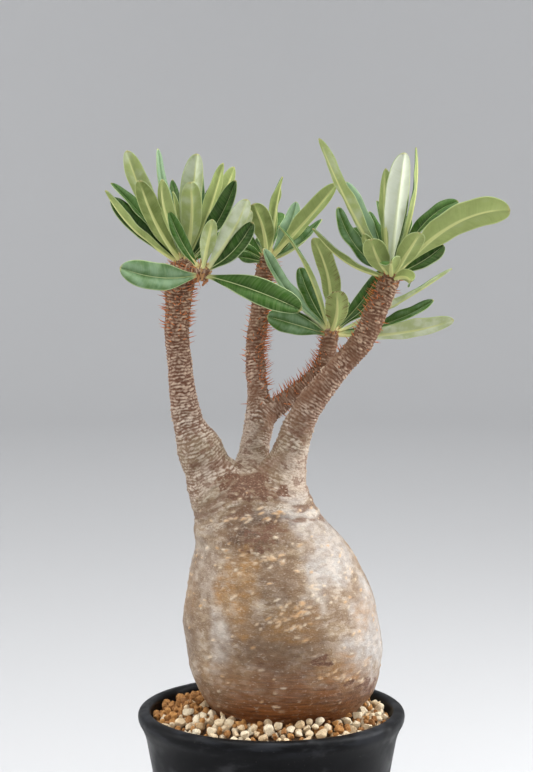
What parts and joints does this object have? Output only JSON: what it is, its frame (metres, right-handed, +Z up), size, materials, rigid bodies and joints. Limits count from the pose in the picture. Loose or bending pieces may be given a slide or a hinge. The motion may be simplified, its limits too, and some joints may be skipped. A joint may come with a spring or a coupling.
{
  "type": "potted pachypodium",
  "caption": "Swollen silvery caudex with ridged spiny limbs and tufts of long green leaves, in a round tapered black pot dressed with gravel.",
  "frame": {"origin": "middle of the flat boss in the middle of the pot's underside", "axes": "+Z up along the pot's axis, +X to the right as seen from the plant's front, +Y from the front to the back"},
  "size_m": [0.1514, 0.105, 0.3148],
  "materials": {
    "pot_plastic": "satin black plastic with a dusty bloom",
    "gravel": "matt cream pumice and brown baked clay grains",
    "bark": "satin silvery grey-brown skin with fine rings",
    "leaf": "satin green upper side with a pale rib, paler underside"
  },
  "bodies": {
    "root": {"pot": "pot_plastic", "soil_and_gravel": "gravel", "caudex_and_limbs": "bark", "rosette_left": "leaf", "rosette_centre": "leaf", "rosette_middle": "leaf", "rosette_right": "leaf"}
  },
  "joints": []
}
